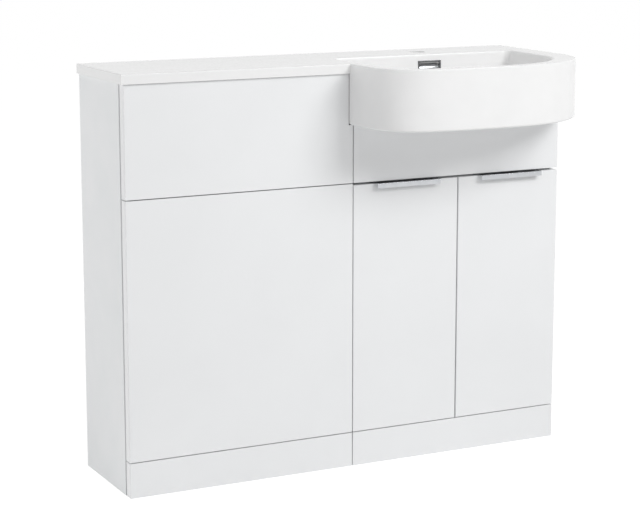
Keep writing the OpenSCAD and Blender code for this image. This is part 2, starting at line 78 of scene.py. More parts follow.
# Adds a node with its settings and links. The stops of a ramp are pairs of a place and an sRGB colour
def addNode(tree, kind, settings=None, links=None):
    node = tree.nodes.new(kind)
    for name, value in (settings or {}).items():
        if name == "stops":
            for stop, (position, hexColour) in zip(node.color_ramp.elements, value):
                stop.position, stop.color = position, linear(hexColour)
        elif isinstance(name, int) or name in node.inputs:
            node.inputs[name].default_value = value
        else:
            setattr(node, name, value)
    for name, source in (links or {}).items():
        tree.links.new(source, node.inputs[name])
    return node


def startMaterial(name):
    material = bpy.data.materials.new(name)
    material.use_nodes = True
    material.node_tree.nodes.clear()
    return material, material.node_tree


noiseSpan = (0.3, 0.7)  # nearly all of a noise lies between these
fromNoise = {"From Min": noiseSpan[0], "From Max": noiseSpan[1]}

foil = {
    "colour": ("#f1f2f3", "#f3f4f5"),
    "roughness": (0.17, 0.23),
    "ior": 1.5,
    "peelMm": 3.0,  # orange peel left by the press, as wide as it reads from a step away
    "peelDetail": 1.5,
    "peelDepthMm": 0.006,
    "driftMm": 160.0,
    "driftDetail": 2.0,
}


# Gloss vinyl foil drawn over MDF in a vacuum press: a clean, slightly cool
# white whose reflections waver a little with the board under it
def glossFoilOnMdf():
    material, tree = startMaterial("glossFoilOnMdf")
    place = addNode(tree, "ShaderNodeTexCoord").outputs["Object"]
    peel = addNode(tree, "ShaderNodeTexNoise", {
        "Scale": 1000 / foil["peelMm"], "Detail": foil["peelDetail"]}, {"Vector": place}).outputs["Fac"]
    drift = addNode(tree, "ShaderNodeTexNoise", {
        "Scale": 1000 / foil["driftMm"], "Detail": foil["driftDetail"]}, {"Vector": place}).outputs["Fac"]
    colour = addNode(tree, "ShaderNodeValToRGB", {
        "stops": zip(noiseSpan, foil["colour"])}, {"Fac": drift}).outputs["Color"]
    rough = addNode(tree, "ShaderNodeMapRange", {
        **fromNoise, "To Min": foil["roughness"][0], "To Max": foil["roughness"][1]},
        {"Value": drift}).outputs["Result"]
    bump = addNode(tree, "ShaderNodeBump", {
        "Strength": 1.0, "Distance": foil["peelDepthMm"] * mm}, {"Height": peel}).outputs["Normal"]
    shader = addNode(tree, "ShaderNodeBsdfPrincipled", {"IOR": foil["ior"]}, {
        "Base Color": colour, "Roughness": rough, "Normal": bump})
    addNode(tree, "ShaderNodeOutputMaterial", {}, {"Surface": shader.outputs["BSDF"]})
    return material


melamine = {
    "colour": ("#eceeef", "#f0f1f2"),
    "roughness": (0.36, 0.46),
    "ior": 1.5,
    "poreMm": 1.6,  # really about 0.3 mm, drawn coarser so that it shows
    "poreDetail": 3.0,
    "poreDepthMm": 0.012,
    "driftMm": 90.0,
    "driftDetail": 2.0,
}


# Melamine paper pressed on chipboard: a satin white with a fine pearl grain
# that keeps highlights wide and soft
def satinMelamineBoard():
    material, tree = startMaterial("satinMelamineBoard")
    place = addNode(tree, "ShaderNodeTexCoord").outputs["Object"]
    pores = addNode(tree, "ShaderNodeTexNoise", {
        "Scale": 1000 / melamine["poreMm"], "Detail": melamine["poreDetail"]},
        {"Vector": place}).outputs["Fac"]
    drift = addNode(tree, "ShaderNodeTexNoise", {
        "Scale": 1000 / melamine["driftMm"], "Detail": melamine["driftDetail"]},
        {"Vector": place}).outputs["Fac"]
    colour = addNode(tree, "ShaderNodeValToRGB", {
        "stops": zip(noiseSpan, melamine["colour"])}, {"Fac": drift}).outputs["Color"]
    rough = addNode(tree, "ShaderNodeMapRange", {
        **fromNoise, "To Min": melamine["roughness"][0], "To Max": melamine["roughness"][1]},
        {"Value": pores}).outputs["Result"]
    bump = addNode(tree, "ShaderNodeBump", {
        "Strength": 1.0, "Distance": melamine["poreDepthMm"] * mm}, {"Height": pores}).outputs["Normal"]
    shader = addNode(tree, "ShaderNodeBsdfPrincipled", {"IOR": melamine["ior"]}, {
        "Base Color": colour, "Roughness": rough, "Normal": bump})
    addNode(tree, "ShaderNodeOutputMaterial", {}, {"Surface": shader.outputs["BSDF"]})
    return material


chipboard = {
    "colour": ("#a98d66", "#d8c39c"),
    "band": (0.45, 0.85),  # where the two colours stand in flakes and flecks added up
    "roughness": 0.85,
    "specular": 0.3,
    "flakeMm": 2.4,
    "flakeShare": 0.6,  # weight of the flakes against 1 for the flecks
    "fleckMm": 0.9,
    "fleckDetail": 2.0,
    "depthMm": 0.18,
}


# Sawn chipboard on edges that no one sees in use: pressed wood flakes, tan
# with dark flecks, rough and matt
def bareChipboardEdge():
    material, tree = startMaterial("bareChipboardEdge")
    place = addNode(tree, "ShaderNodeTexCoord").outputs["Object"]
    flakes = addNode(tree, "ShaderNodeTexVoronoi", {
        "Scale": 1000 / chipboard["flakeMm"]}, {"Vector": place}).outputs["Distance"]
    flecks = addNode(tree, "ShaderNodeTexNoise", {
        "Scale": 1000 / chipboard["fleckMm"], "Detail": chipboard["fleckDetail"]},
        {"Vector": place}).outputs["Fac"]
    both = addNode(tree, "ShaderNodeMath", {
        "operation": "MULTIPLY_ADD", 1: chipboard["flakeShare"]}, {0: flakes, 2: flecks}).outputs["Value"]
    colour = addNode(tree, "ShaderNodeValToRGB", {
        "stops": zip(chipboard["band"], chipboard["colour"])}, {"Fac": both}).outputs["Color"]
    bump = addNode(tree, "ShaderNodeBump", {
        "Strength": 1.0, "Distance": chipboard["depthMm"] * mm}, {"Height": both}).outputs["Normal"]
    shader = addNode(tree, "ShaderNodeBsdfPrincipled", {
        "Roughness": chipboard["roughness"], "Specular IOR Level": chipboard["specular"]}, {
        "Base Color": colour, "Normal": bump})
    addNode(tree, "ShaderNodeOutputMaterial", {}, {"Surface": shader.outputs["BSDF"]})
    return material


gelcoat = {
    "colour": ("#f4f4f4", "#f6f6f6"),
    "roughness": (0.16, 0.2),
    "ior": 1.44,
    "waveMm": 45.0,  # slow hollows left by shrinkage in the mould
    "waveDetail": 1.0,
    "waveDepthMm": 0.05,
    "polishMm": 6.0,
    "polishDetail": 2.0,
    "polishDepthMm": 0.006,
}


# Cast marble under a clear gel coat, taken from a polished mould: a deep soft
# gloss, with reflections that bend slowly over it
def gelcoatedCastMarble():
    material, tree = startMaterial("gelcoatedCastMarble")
    place = addNode(tree, "ShaderNodeTexCoord").outputs["Object"]
    waves = addNode(tree, "ShaderNodeTexNoise", {
        "Scale": 1000 / gelcoat["waveMm"], "Detail": gelcoat["waveDetail"]},
        {"Vector": place}).outputs["Fac"]
    polish = addNode(tree, "ShaderNodeTexNoise", {
        "Scale": 1000 / gelcoat["polishMm"], "Detail": gelcoat["polishDetail"]},
        {"Vector": place}).outputs["Fac"]
    colour = addNode(tree, "ShaderNodeValToRGB", {
        "stops": zip(noiseSpan, gelcoat["colour"])}, {"Fac": waves}).outputs["Color"]
    rough = addNode(tree, "ShaderNodeMapRange", {
        **fromNoise, "To Min": gelcoat["roughness"][0], "To Max": gelcoat["roughness"][1]},
        {"Value": polish}).outputs["Result"]
    slow = addNode(tree, "ShaderNodeBump", {
        "Strength": 1.0, "Distance": gelcoat["waveDepthMm"] * mm}, {"Height": waves}).outputs["Normal"]
    bump = addNode(tree, "ShaderNodeBump", {
        "Strength": 1.0, "Distance": gelcoat["polishDepthMm"] * mm},
        {"Height": polish, "Normal": slow}).outputs["Normal"]
    shader = addNode(tree, "ShaderNodeBsdfPrincipled", {"IOR": gelcoat["ior"]}, {
        "Base Color": colour, "Roughness": rough, "Normal": bump})
    addNode(tree, "ShaderNodeOutputMaterial", {}, {"Surface": shader.outputs["BSDF"]})
    return material


chrome = {
    "colour": ("#bec0c3", "#c6c8cb"),
    "roughness": (0.02, 0.05),
    "smearMm": 14.0,
    "smearDetail": 3.0,
}


# Bright chromium plate on pressed steel: a hard mirror that takes the dark of
# the gap above it, only faintly dulled where fingers wipe it
def polishedChromePlate():
    material, tree = startMaterial("polishedChromePlate")
    place = addNode(tree, "ShaderNodeTexCoord").outputs["Object"]
    smears = addNode(tree, "ShaderNodeTexNoise", {
        "Scale": 1000 / chrome["smearMm"], "Detail": chrome["smearDetail"]},
        {"Vector": place}).outputs["Fac"]
    colour = addNode(tree, "ShaderNodeValToRGB", {
        "stops": zip(noiseSpan, chrome["colour"])}, {"Fac": smears}).outputs["Color"]
    rough = addNode(tree, "ShaderNodeMapRange", {
        **fromNoise, "To Min": chrome["roughness"][0], "To Max": chrome["roughness"][1]},
        {"Value": smears}).outputs["Result"]
    shader = addNode(tree, "ShaderNodeBsdfPrincipled", {"Metallic": 1.0}, {
        "Base Color": colour, "Roughness": rough})
    addNode(tree, "ShaderNodeOutputMaterial", {}, {"Surface": shader.outputs["BSDF"]})
    return material


chromePlasticPaintedShade = {
    # painted shade: these colours are far darker than chrome, to stand in for the shaded bowl it reflects
    "colour": ("#6f7072", "#9a9b9d"),
    "roughness": (0.12, 0.16),
    "hazeMm": 5.0,
    "hazeDetail": 3.0,
    "sinkMm": 8.0,  # shallow hollows over the ribs of the moulding
    "sinkDetail": 1.0,
    "sinkDepthMm": 0.01,
}


# Chrome on moulded ABS, as on overflow covers, with a haze of water marks and
# slightly wavy reflections; its colour is painted shade, far darker than chrome, standing in for the dark
# reflection of the shaded bowl
def chromedAbsMoulding():
    material, tree = startMaterial("chromedAbsMoulding")
    place = addNode(tree, "ShaderNodeTexCoord").outputs["Object"]
    haze = addNode(tree, "ShaderNodeTexNoise", {
        "Scale": 1000 / chromePlasticPaintedShade["hazeMm"], "Detail": chromePlasticPaintedShade["hazeDetail"]},
        {"Vector": place}).outputs["Fac"]
    sink = addNode(tree, "ShaderNodeTexNoise", {
        "Scale": 1000 / chromePlasticPaintedShade["sinkMm"], "Detail": chromePlasticPaintedShade["sinkDetail"]},
        {"Vector": place}).outputs["Fac"]
    colour = addNode(tree, "ShaderNodeValToRGB", {
        "stops": zip(noiseSpan, chromePlasticPaintedShade["colour"])}, {"Fac": haze}).outputs["Color"]
    rough = addNode(tree, "ShaderNodeMapRange", {
        **fromNoise, "To Min": chromePlasticPaintedShade["roughness"][0], "To Max": chromePlasticPaintedShade["roughness"][1]},
        {"Value": haze}).outputs["Result"]
    bump = addNode(tree, "ShaderNodeBump", {
        "Strength": 1.0, "Distance": chromePlasticPaintedShade["sinkDepthMm"] * mm},
        {"Height": sink}).outputs["Normal"]
    shader = addNode(tree, "ShaderNodeBsdfPrincipled", {"Metallic": 1.0}, {
        "Base Color": colour, "Roughness": rough, "Normal": bump})
    addNode(tree, "ShaderNodeOutputMaterial", {}, {"Surface": shader.outputs["BSDF"]})
    return material


nickel = {
    "colour": ("#a8a59e", "#b4b1aa"),
    "roughness": (0.27, 0.33),
    "grainMm": 1.2,
    "grainDetail": 3.0,
    "grainStretch": (1.0, 0.15, 1.0),
    "grainDepthMm": 0.004,
}


# Nickel-plated pressed steel: warm grey metal, half bright, with the rolled
# grain of the strip running through
def nickelPlatedSteel():
    material, tree = startMaterial("nickelPlatedSteel")
    place = addNode(tree, "ShaderNodeTexCoord").outputs["Object"]
    along = addNode(tree, "ShaderNodeMapping", {
        "Scale": nickel["grainStretch"]}, {"Vector": place}).outputs["Vector"]
    grain = addNode(tree, "ShaderNodeTexNoise", {
        "Scale": 1000 / nickel["grainMm"], "Detail": nickel["grainDetail"]},
        {"Vector": along}).outputs["Fac"]
    colour = addNode(tree, "ShaderNodeValToRGB", {
        "stops": zip(noiseSpan, nickel["colour"])}, {"Fac": grain}).outputs["Color"]
    rough = addNode(tree, "ShaderNodeMapRange", {
        **fromNoise, "To Min": nickel["roughness"][0], "To Max": nickel["roughness"][1]},
        {"Value": grain}).outputs["Result"]
    bump = addNode(tree, "ShaderNodeBump", {
        "Strength": 1.0, "Distance": nickel["grainDepthMm"] * mm}, {"Height": grain}).outputs["Normal"]
    shader = addNode(tree, "ShaderNodeBsdfPrincipled", {"Metallic": 1.0}, {
        "Base Color": colour, "Roughness": rough, "Normal": bump})
    addNode(tree, "ShaderNodeOutputMaterial", {}, {"Surface": shader.outputs["BSDF"]})
    return material


nylon = {
    "colour": ("#d7dadb", "#e4e6e7"),
    "roughness": (0.32, 0.45),
    "ior": 1.53,
    "milkiness": 0.25,
    "milkDepthMm": 2.0,
    "flowMm": 9.0,
    "flowDetail": 2.0,
    "flowSwirl": 0.6,
}


# Natural injection-moulded nylon: milky grey, a little see-through at thin
# edges, with faint flow marks
def milkyNylon():
    material, tree = startMaterial("milkyNylon")
    place = addNode(tree, "ShaderNodeTexCoord").outputs["Object"]
    flow = addNode(tree, "ShaderNodeTexNoise", {
        "Scale": 1000 / nylon["flowMm"], "Detail": nylon["flowDetail"], "Distortion": nylon["flowSwirl"]},
        {"Vector": place}).outputs["Fac"]
    colour = addNode(tree, "ShaderNodeValToRGB", {
        "stops": zip(noiseSpan, nylon["colour"])}, {"Fac": flow}).outputs["Color"]
    rough = addNode(tree, "ShaderNodeMapRange", {
        **fromNoise, "To Min": nylon["roughness"][0], "To Max": nylon["roughness"][1]},
        {"Value": flow}).outputs["Result"]
    shader = addNode(tree, "ShaderNodeBsdfPrincipled", {
        "IOR": nylon["ior"], "Subsurface Weight": nylon["milkiness"],
        "Subsurface Scale": nylon["milkDepthMm"] * mm}, {
        "Base Color": colour, "Roughness": rough})
    addNode(tree, "ShaderNodeOutputMaterial", {}, {"Surface": shader.outputs["BSDF"]})
    return material


vinyl = {
    "colour": ("#d9dcdd", "#e6e8e9"),
    "roughness": 0.55,
    "ior": 1.52,
    "milkiness": 0.3,
    "milkDepthMm": 2.0,
    "bloomMm": 2.5,
    "bloomDetail": 2.0,
    "bloomDepthMm": 0.015,
}


# Clear soft vinyl bumpers: pale, matt and faintly clouded
def softClearVinyl():
    material, tree = startMaterial("softClearVinyl")
    place = addNode(tree, "ShaderNodeTexCoord").outputs["Object"]
    bloom = addNode(tree, "ShaderNodeTexNoise", {
        "Scale": 1000 / vinyl["bloomMm"], "Detail": vinyl["bloomDetail"]},
        {"Vector": place}).outputs["Fac"]
    colour = addNode(tree, "ShaderNodeValToRGB", {
        "stops": zip(noiseSpan, vinyl["colour"])}, {"Fac": bloom}).outputs["Color"]
    bump = addNode(tree, "ShaderNodeBump", {
        "Strength": 1.0, "Distance": vinyl["bloomDepthMm"] * mm}, {"Height": bloom}).outputs["Normal"]
    shader = addNode(tree, "ShaderNodeBsdfPrincipled", {
        "Roughness": vinyl["roughness"], "IOR": vinyl["ior"],
        "Subsurface Weight": vinyl["milkiness"], "Subsurface Scale": vinyl["milkDepthMm"] * mm}, {
        "Base Color": colour, "Normal": bump})
    addNode(tree, "ShaderNodeOutputMaterial", {}, {"Surface": shader.outputs["BSDF"]})
    return material


finish = {
    "foil": glossFoilOnMdf(),
    "melamine": satinMelamineBoard(),
    "chipboard": bareChipboardEdge(),
    "gelcoat": gelcoatedCastMarble(),
    "chrome": polishedChromePlate(),
    "chromePlasticPaintedShade": chromedAbsMoulding(),
    "nickel": nickelPlatedSteel(),
    "nylon": milkyNylon(),
    "vinyl": softClearVinyl(),
}
print("materials made:", len(finish))


# The parent of a CAD node is named for its body
def bodyOf(node):
    return frame["nodes"][node].parent.name.split(":", 1)[1]


# Puts a bmesh into the scene as a piece that stands for a CAD node
def putPiece(bm, name, node, finishes, sharpDegrees=35):
    sharp = math.radians(sharpDegrees)
    for edge in bm.edges:
        edge.smooth = len(edge.link_faces) == 2 and edge.calc_face_angle(0) < sharp
    for face in bm.faces:
        face.smooth = True
    mesh = bpy.data.meshes.new(name)
    bm.to_mesh(mesh)
    bm.free()
    for key in finishes:
        mesh.materials.append(finish[key])
    piece = bpy.data.objects.new(name, mesh)
    bpy.context.scene.collection.objects.link(piece)
    weighted = piece.modifiers.new("evenShading", "WEIGHTED_NORMAL")
    weighted.keep_sharp = True
    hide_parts(node)
    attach(piece, bodyOf(node))


flatDegrees = 0.5  # faces that turn by less are joined


# A welded copy of a CAD node, ready for its edges to be rounded
def weldedCopy(node):
    bm = bmesh.new()
    bm.from_mesh(frame["nodes"][node].data)
    bm.transform(frame["nodes"][node].matrix_world)
    bmesh.ops.remove_doubles(bm, verts=bm.verts, dist=weld)
    bmesh.ops.dissolve_limit(bm, angle_limit=math.radians(flatDegrees), verts=bm.verts, edges=bm.edges)
    return bm


def roundEdges(bm, edges, radius, segments):
    if edges:
        bmesh.ops.bevel(bm, geom=edges, offset=radius, offset_type="OFFSET", segments=segments,
                        profile=0.5, affect="EDGES", clamp_overlap=True, material=-1)


# How many of a box's six planes an edge lies in
def planesAlong(edge, low, high):
    ends = [v.co for v in edge.verts]
    return sum(all(abs(end[i] - side[i]) < near for end in ends)
               for side in (low, high) for i in range(3))


# Rounds the outer edges of a board, front or cover, as its values say
def roundOuterEdges(bm, low, high, values):
    outer = [e for e in bm.edges if planesAlong(e, low, high) >= 2]
    roundEdges(bm, outer, values["edgeMm"] * mm, values["segments"])


boards = {
    "edgeMm": 0.7,  # rounding of the edge tape
    "segments": 3,
    # directions in which each board is left as bare chipboard
    "bare": {
        "wc_side_left": ["+y", "-z", "+z"], "wc_side_right": ["+y", "-z", "+z"],
        "vanity_side_left": ["+y", "-z", "+z"], "vanity_side_right": ["+y", "-z", "+z"],
        "wc_base_rail": ["-z"], "wc_mid_rail": ["-z", "+z"], "wc_top_rail": ["+z"],
        "wc_wall_rail": ["+z", "-z"],
        "vanity_base": ["+y"], "vanity_filler_rail": ["+z"], "vanity_back_rail": ["+z"],
        "vanity_wall_rail": ["+z", "-z"], "shelf": ["+y"],
    },
}


def looksTo(face, direction):
    return face.normal["xyz".index(direction[1])] * (1 if direction[0] == "+" else -1) > squareTo


# Whether a face is part of that side of its board's box
def liesIn(face, direction, low, high):
    axis = "xyz".index(direction[1])
    side = (high if direction[0] == "+" else low)[axis]
    return looksTo(face, direction) and abs(face.calc_center_median()[axis] - side) < near


for node, bareSides in boards["bare"].items():
    low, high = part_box(node)
    bm = weldedCopy(node)
    bm.normal_update()
    for face in bm.faces:
        face.material_index = int(any(liesIn(face, side, low, high) for side in bareSides))
    roundOuterEdges(bm, low, high, boards)
    putPiece(bm, node + "_board", node, ["melamine", "chipboard"])
print("boards made:", len(boards["bare"]))

fronts = {
    "edgeMm": 0.5,  # the router's rounding under the foil
    "segments": 3,
    "nodes": ["wc_front_panel", "wc_access_panel", "wc_plinth", "vanity_filler_panel",
              "vanity_plinth", "door_left", "door_right"],
}

for node in fronts["nodes"]:
    low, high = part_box(node)
    bm = weldedCopy(node)
    bm.normal_update()
    for face in bm.faces:
        face.material_index = int(looksTo(face, "+y"))  # the back is plain melamine
    roundOuterEdges(bm, low, high, fronts)
    putPiece(bm, node + "_front", node, ["foil", "melamine"])
print("fronts made:", len(fronts["nodes"]))

basin = {
    "leftX": -10.0, "rightX": 505.0,  # outside of the apron
    "slabLeftX": -505.0, "wallY": 220.0, "slabFrontY": -35.0,
    "reach": 185.0,  # from the slab's front edge to the nose
    "topZ": 850.0, "slabBottomZ": 830.0, "apronBottomZ": 725.0,
    "leftSquareness": 4.2, "rightSquareness": 2.1,
    "apronRadius": 5.0, "apronBackY": -6.0, "topRadius": 2.0,
    "rimLeft": 26.0, "rimRight": 57.0, "rimFront": 28.0, "bowlBackY": 98.0,
    "lipRadius": 6.0, "bowlFillet": 38.0,
    "bowlCorner": 14.0, "cornerLoss": 0.5, "leastCorner": 9.0,  # it loses this for each mm of inset
    "bowlLean": 8.0, "frontLean": 1.5, "backLean": 0.5,  # the last two against 1 at the bowl's sides
    "leftShift": 5.0, "leftFall": 16.0,  # below its lip the left wall comes in, to keep casting behind it
    "floorZ": 748.0, "seatZ": 740.0, "seatRadius": 31.0,
    "waste": (250.0, 41.0), "wasteRadius": 22.5,
    "tap": (250.0, 151.0), "tapRadius": 17.5,
    "tankX": (18.5, 480.0), "tankY": (-7.0, 123.0), "tankBevel": (35.0, 50.0),
    "notchX": 1.0, "notchY": (-30.3, -5.0),  # where the basin's left end laps over the front beside it
    "apronInto": 6.0, "tankInto": 4.0,  # how far these reach up into the slab that they join
    "cutPast": 2.0, "notchPast": 1.0, "bevelPast": (5.0, 60.0),  # how far a cut goes past what it cuts
    "pocketLow": (221.85, 90.0, 816.35), "pocketHigh": (278.15, 100.0, 835.65),  # the cover's seat
    "slotLow": (228.0, 99.0, 822.0), "slotHigh": (272.0, 108.5, 830.0),  # the overflow's own way
    "noseSteps": 44, "topSteps": 4, "edgeSteps": 6, "wallSteps": 8, "floorSteps": 5, "filletSteps": 14,
    "cornerSteps": 14, "backSteps": 28, "holeSteps": 72,
    "sharpDegrees": 28,  # edges that turn by more stay sharp
}


# The basin's front in plan, left to right: a superellipse, squarer on its left
def noseLine(leftX, rightX, reach):
    middle = (basin["leftX"] + basin["rightX"]) / 2
    line = []
    for i in range(2 * basin["noseSteps"] + 1):
        turn = math.radians(90 * i / basin["noseSteps"])
        square = basin["leftSquareness"] if turn < math.pi / 2 else basin["rightSquareness"]
        half = (leftX if turn < math.pi / 2 else rightX) - middle
        line.append((middle + half * abs(math.cos(turn)) ** (2 / square),
                     basin["slabFrontY"] - reach * abs(math.sin(turn)) ** (2 / square)))
    return line


def cornerLine(x, y, radius, start):
    steps = basin["cornerSteps"]
    return [(x + radius * math.cos(math.radians(start + 90 * i / steps)),
             y + radius * math.sin(math.radians(start + 90 * i / steps))) for i in range(steps + 1)]


def apronLine(inset):
    line = noseLine(basin["leftX"] + inset, basin["rightX"] - inset, basin["reach"] - inset)
    return line + [(basin["rightX"] - inset, basin["apronBackY"]),
                   (basin["leftX"] + inset, basin["apronBackY"])]


# The whole top in plan: the slab with the basin's nose in front of it
def topLine(inset):
    nose = noseLine(basin["leftX"] + inset, basin["rightX"] - inset, basin["reach"] - inset)[1:]
    frontY = basin["slabFrontY"] + inset
    return [(basin["leftX"] + inset, frontY)] + nose + [
        (basin["rightX"] - inset, basin["wallY"]), (basin["slabLeftX"] + inset, basin["wallY"]),
        (basin["slabLeftX"] + inset, frontY)]


# The bowl in plan, drawn in by an inset and, on its left, by a shift as well
def bowlLine(inset, shift=0.0):
    leftX = basin["leftX"] + basin["rimLeft"] + inset + shift
    rightX = basin["rightX"] - basin["rimRight"] - inset
    backY = basin["bowlBackY"] - inset * basin["backLean"]
    corner = max(basin["bowlCorner"] - max(inset, 0) * basin["cornerLoss"], basin["leastCorner"])
    nose = noseLine(leftX, rightX, basin["reach"] - basin["rimFront"] - inset * basin["frontLean"])
    steps, wide = basin["backSteps"], rightX - leftX - 2 * corner
    back = [(rightX - corner - wide * i / steps, backY) for i in range(1, steps)]
    return (nose + cornerLine(rightX - corner, backY - corner, corner, 0) + back
            + cornerLine(leftX + corner, backY - corner, corner, 90))


# The bowl's floor, from its edge (0) to the seat of the waste (1)
def floorLine(share):
    line = []
    for x, y in bowlLine(basin["bowlLean"] + basin["bowlFillet"], basin["leftShift"]):
        out = Vector((x - basin["waste"][0], y - basin["waste"][1]))
        seat = Vector(basin["waste"]) + out.normalized() * basin["seatRadius"]
        line.append(((1 - share) * x + share * seat.x, (1 - share) * y + share * seat.y))
    return line


# Rings of the wall just below the lip, where its left end comes in
def upperWall():
    low, high = basin["floorZ"] + basin["bowlFillet"], basin["topZ"] - basin["lipRadius"]
    rings = []
    for i in range(basin["wallSteps"]):
        down = 1 - i / basin["wallSteps"]
        height = high - basin["leftFall"] * down
        eased = down ** 2 * (3 - 2 * down)  # starts and ends without a kink
        inset = basin["bowlLean"] * (high - height) / (high - low)
        rings.append((bowlLine(inset, basin["leftShift"] * eased), height))
    return rings


# Draws the first ring and extrudes each further one from the ring before it
def loftRings(rings):
    bm = bmesh.new()
    line, height = rings[0]
    ring = [bm.verts.new((x * mm, y * mm, height * mm)) for x, y in line]
    count = len(ring)
    bm.faces.new(ring)
    edges = [bm.edges.get((ring[i], ring[(i + 1) % count])) for i in range(count)]
    for line, height in rings[1:]:
        made = bmesh.ops.extrude_edge_only(bm, edges=edges)["geom"]
        fresh = {v for v in made if isinstance(v, bmesh.types.BMVert)}
        ring = [next(e.other_vert(v) for e in v.link_edges if e.other_vert(v) in fresh) for v in ring]
        for vert, (x, y) in zip(ring, line):
            vert.co = (x * mm, y * mm, height * mm)
        edges = [bm.edges.get((ring[i], ring[(i + 1) % count])) for i in range(count)]
    bm.faces.new(ring)
    bmesh.ops.recalc_face_normals(bm, faces=bm.faces)
    return bm


def boxSolid(low, high):
    bm = bmesh.new()
    size = Vector(high) - Vector(low)
    centre = (Vector(high) + Vector(low)) / 2
    bmesh.ops.create_cube(bm, size=1.0)
    bmesh.ops.scale(bm, vec=size * mm, verts=bm.verts)
    bmesh.ops.translate(bm, vec=centre * mm, verts=bm.verts)
    return bm


def roundSolid(x, y, lowZ, highZ, radius):
    bm = bmesh.new()
    bmesh.ops.create_cone(bm, cap_ends=True, segments=basin["holeSteps"],
                          radius1=radius * mm, radius2=radius * mm, depth=(highZ - lowZ) * mm)
    bmesh.ops.translate(bm, vec=(x * mm, y * mm, (lowZ + highZ) / 2 * mm), verts=bm.verts)
    return bm


def looseObject(bm, name):
    mesh = bpy.data.meshes.new(name)
    bm.to_mesh(mesh)
    bm.free()
    made = bpy.data.objects.new(name, mesh)
    bpy.context.scene.collection.objects.link(made)
    return made


# Joins solids to the first one or cuts them out of it, and gives back a bmesh
def combine(first, steps):
    whole = looseObject(first, "blank")
    others = []
    for operation, bm in steps:
        other = looseObject(bm, "tool")
        other.hide_render = True
        others.append(other)
        change = whole.modifiers.new(operation, "BOOLEAN")
        change.operation, change.solver, change.object = operation, "EXACT", other
    bpy.context.view_layer.update()
    evaluated = whole.evaluated_get(bpy.context.evaluated_depsgraph_get())
    bm = bmesh.new()
    bm.from_mesh(evaluated.to_mesh())
    evaluated.to_mesh_clear()
    for made in [whole] + others:
        mesh = made.data
        bpy.data.objects.remove(made)
        bpy.data.meshes.remove(mesh)
    bmesh.ops.remove_doubles(bm, verts=bm.verts, dist=cutWeld)
    return bm


# Angles of a quarter turn in even steps
def quarter(steps):
    return [math.radians(90 * i / steps) for i in range(steps + 1)]


def slabSolid():
    topZ, radius = basin["topZ"], basin["topRadius"]
    return loftRings([(topLine(0), basin["slabBottomZ"])] + [
        (topLine(radius * (1 - math.cos(a))), topZ - radius * (1 - math.sin(a)))
        for a in quarter(basin["topSteps"])])


def apronSolid():
    bottomZ, foot = basin["apronBottomZ"], basin["apronRadius"]
    return loftRings([
        (apronLine(foot * (1 - math.sin(a))), bottomZ + foot * (1 - math.cos(a)))
        for a in quarter(basin["edgeSteps"])] + [(apronLine(0), basin["slabBottomZ"] + basin["apronInto"])])


# The deep back part of the basin, which hangs inside the cabinet
def tankSolid():
    (x0, x1), (y0, y1) = basin["tankX"], basin["tankY"]
    return boxSolid((x0, y0, basin["apronBottomZ"]), (x1, y1, basin["slabBottomZ"] + basin["tankInto"]))


# What the chamfer under the tank's back takes away
def tankBevelSolid():
    (x0, x1), backY, bottomZ = basin["tankX"], basin["tankY"][1], basin["apronBottomZ"]
    bevelY, bevelZ = basin["tankBevel"]
    pastX, pastY = basin["bevelPast"]
    bm = boxSolid((x0 - pastX, backY - bevelY, bottomZ - bevelZ), (x1 + pastX, backY + pastY, bottomZ))
    tilt = Matrix.Rotation(math.atan2(bevelZ, bevelY), 4, "X")
    pivot = Vector((0, (backY - bevelY) * mm, bottomZ * mm))
    bmesh.ops.transform(bm, matrix=Matrix.Translation(pivot) @ tilt @ Matrix.Translation(-pivot),
                        verts=bm.verts)
    return bm


# The hollow of the bowl, from the seat of its waste up past its lip
def bowlSolid():
    topZ, floorZ, lip = basin["topZ"], basin["floorZ"], basin["lipRadius"]
    fillet, lean, steps = basin["bowlFillet"], basin["bowlLean"], basin["floorSteps"]
    shares = [(steps - i) / steps for i in range(steps)]
    rings = [(floorLine(share), floorZ - (floorZ - basin["seatZ"]) * share) for share in shares]
    rings += [(bowlLine(lean + fillet * (1 - math.sin(a)), basin["leftShift"]),
               floorZ + fillet * (1 - math.cos(a))) for a in quarter(basin["filletSteps"])]
    rings += upperWall()
    rings += [(bowlLine(-lip * (1 - math.cos(a))), topZ - lip * (1 - math.sin(a)))
              for a in quarter(basin["edgeSteps"])]
    return loftRings(rings + [(bowlLine(-lip), topZ + basin["cutPast"])])


def notchSolid():
    past, (frontY, backY) = basin["notchPast"], basin["notchY"]
    return boxSolid((basin["leftX"] - past, frontY, basin["apronBottomZ"] - past),
                    (basin["notchX"], backY, basin["slabBottomZ"]))


def wholeTop():
    past = basin["cutPast"]
    tapHole = roundSolid(*basin["tap"], basin["slabBottomZ"] - past, basin["topZ"] + past,
                         basin["tapRadius"])
    wasteHole = roundSolid(*basin["waste"], basin["apronBottomZ"] - past, basin["floorZ"],
                           basin["wasteRadius"])
    return combine(slabSolid(), [
        ("UNION", apronSolid()), ("UNION", tankSolid()),
        ("DIFFERENCE", tankBevelSolid()), ("DIFFERENCE", bowlSolid()), ("DIFFERENCE", notchSolid()),
        ("DIFFERENCE", tapHole), ("DIFFERENCE", wasteHole),
        ("DIFFERENCE", boxSolid(basin["pocketLow"], basin["pocketHigh"])),
        ("DIFFERENCE", boxSolid(basin["slotLow"], basin["slotHigh"]))])


bm = wholeTop()
print("basin top:", len(bm.faces), "faces,", sum(not e.is_manifold for e in bm.edges), "open edges")
putPiece(bm, "basin_casting", "basin_top", ["gelcoat"], basin["sharpDegrees"])

pulls = {
    "nodes": ["pull_left", "pull_right"],
    "edgeMm": 0.15,
    "segments": 2,
    "foldTurn": 0.6,  # radians, above which an edge along the strip is a fold
    "foldMm": 50.0,  # above this length an edge runs along the strip
}

